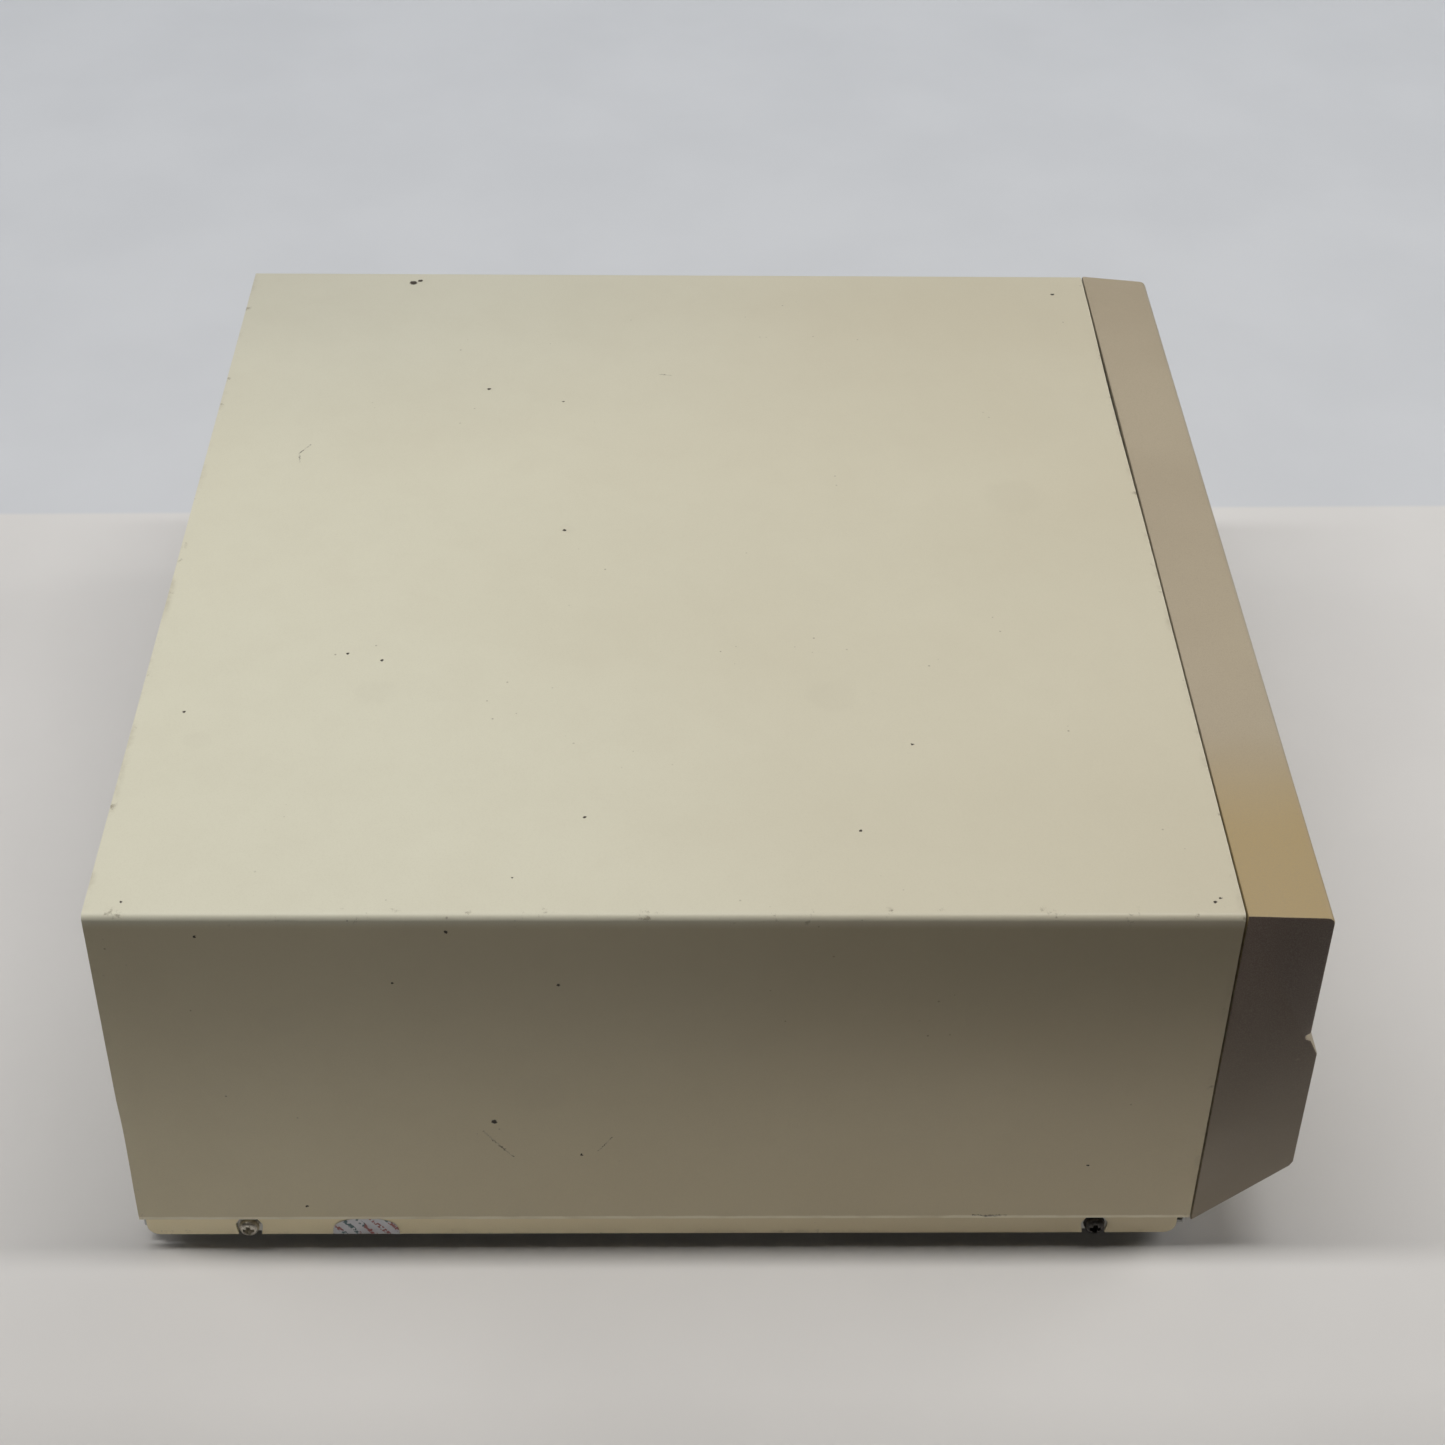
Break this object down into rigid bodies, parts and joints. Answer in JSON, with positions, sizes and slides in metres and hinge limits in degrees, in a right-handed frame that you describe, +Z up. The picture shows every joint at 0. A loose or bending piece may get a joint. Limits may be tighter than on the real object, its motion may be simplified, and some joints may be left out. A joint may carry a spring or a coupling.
{
  "type": "desktop computer system unit",
  "caption": "Late-1980s desktop computer system unit: lift-off folded steel cover with a stepped lip, taupe bezel, drives, supply, board and cards inside.",
  "frame": {"origin": "on the desk, under the middle of the object's box", "axes": "+Z up; the front bezel faces -Y; +X is the right-hand side seen from the front"},
  "size_m": [0.44, 0.419, 0.1635],
  "materials": {
    "cover_paint": "warm cream baked enamel, very fine texture, satin",
    "chassis_steel": "zinc-plated sheet, dull spangle",
    "bezel_plastic": "taupe moulded ABS, fine spark texture, yellowed at one corner",
    "beige_plastic": "light beige moulded plastic",
    "black_plastic": "black moulded plastic",
    "drive_casting": "as-cast and sheet metal drive body",
    "circuit_board": "green solder mask with black parts",
    "chip_ceramic": "dark ceramic with a plated lid",
    "bracket_steel": "bright plated steel",
    "bright_screw": "nickel plate, slightly dulled",
    "dark_screw": "black oxide",
    "foot_rubber": "black rubber",
    "cable_grey": "grey ribbon and sleeved leads",
    "seal_foil": "silver-white printed sticker",
    "battery_sleeve": "blue shrink sleeve",
    "speaker_black": "paper cone in a steel basket",
    "green_lens": "translucent green",
    "red_lens": "red"
  },
  "bodies": {
    "unit": {"chassis_tray": "chassis_steel", "front_frame": "chassis_steel", "rear_panel": "chassis_steel", "drive_cage": "chassis_steel", "power_supply_base": "chassis_steel", "power_supply_lid": "chassis_steel", "slot_cover_1": "chassis_steel", "slot_cover_3": "chassis_steel", "slot_cover_5": "chassis_steel", "front_bezel": "bezel_plastic", "floppy_35_surround": "bezel_plastic", "floppy_35_faceplate": "beige_plastic", "floppy_525_faceplate": "black_plastic", "fan_frame": "black_plastic", "mains_inlet": "black_plastic", "power_switch_housing": "black_plastic", "voltage_selector_housing": "black_plastic", "expansion_slot_1": "black_plastic", "expansion_slot_2": "black_plastic", "expansion_slot_3": "black_plastic", "expansion_slot_4": "black_plastic", "expansion_slot_5": "black_plastic", "keyboard_socket": "black_plastic", "floppy_525_drive": "drive_casting", "floppy_35_drive": "drive_casting", "hard_drive": "drive_casting", "motherboard": "circuit_board", "power_supply_board": "circuit_board", "memory_module_1": "circuit_board", "memory_module_2": "circuit_board", "video_card": "circuit_board", "controller_card": "circuit_board", "processor": "chip_ceramic", "video_card_bracket": "bracket_steel", "controller_card_bracket": "bracket_steel", "cover_screw_left_rear": "bright_screw", "cover_screw_right_front": "bright_screw", "cover_screw_right_rear": "bright_screw", "cover_screw_left_front": "dark_screw", "foot_front_left": "foot_rubber", "foot_front_right": "foot_rubber", "foot_rear_left": "foot_rubber", "foot_rear_right": "foot_rubber", "floppy_ribbon": "cable_grey", "disk_ribbon": "cable_grey", "power_loom": "cable_grey", "clock_battery": "battery_sleeve", "speaker": "speaker_black", "power_led": "green_lens", "disk_led": "red_lens"},
    "cover": {"top_cover": "cover_paint", "tamper_seal": "seal_foil"},
    "fan_rotor": {"fan_rotor": "black_plastic"},
    "power_switch": {"power_switch": "black_plastic"},
    "voltage_selector": {"voltage_selector": "red_lens"},
    "floppy_lever": {"floppy_525_lever": "black_plastic"},
    "disk_flap": {"floppy_35_flap": "beige_plastic"},
    "eject_button": {"floppy_35_eject_button": "beige_plastic"},
    "key_lock": {"key_lock": "bright_screw"},
    "reset_button": {"reset_button": "beige_plastic"}
  },
  "joints": [
    {"name": "cover_lift", "type": "slide", "parent": "unit", "child": "cover", "axis": [0, 0, 1], "range_m": [0, 0.17]},
    {"name": "fan_spin", "type": "hinge", "parent": "unit", "child": "fan_rotor", "pos_m": [0.104, 0.1897, 0.096], "axis": [0, 1, 0], "continuous": true},
    {"name": "power_switch_rock", "type": "hinge", "parent": "unit", "child": "power_switch", "pos_m": [0.18, 0.1995, 0.086], "axis": [1, 0, 0], "range_deg": [0, 14]},
    {"name": "voltage_selector_slide", "type": "slide", "parent": "unit", "child": "voltage_selector", "axis": [1, 0, 0], "range_m": [0, 0.005]},
    {"name": "floppy_lever_turn", "type": "hinge", "parent": "unit", "child": "floppy_lever", "pos_m": [0.136, -0.2062, 0.143], "axis": [0, 1, 0], "range_deg": [0, 90]},
    {"name": "disk_flap_swing", "type": "hinge", "parent": "unit", "child": "disk_flap", "pos_m": [0.136, -0.2052, 0.0831], "axis": [1, 0, 0], "range_deg": [0, 80], "stiffness_Nm_per_rad": 0.0004, "springref_deg": -28.65},
    {"name": "eject_press", "type": "slide", "parent": "unit", "child": "eject_button", "axis": [0, 1, 0], "range_m": [0, 0.004], "stiffness_N_per_m": 250, "springref_m": -0.001},
    {"name": "key_lock_turn", "type": "hinge", "parent": "unit", "child": "key_lock", "pos_m": [-0.175, -0.2058, 0.1345], "axis": [0, 1, 0], "range_deg": [0, 90]},
    {"name": "reset_press", "type": "slide", "parent": "unit", "child": "reset_button", "axis": [0, 1, 0], "range_m": [0, 0.002], "stiffness_N_per_m": 300, "springref_m": -0.001}
  ]
}
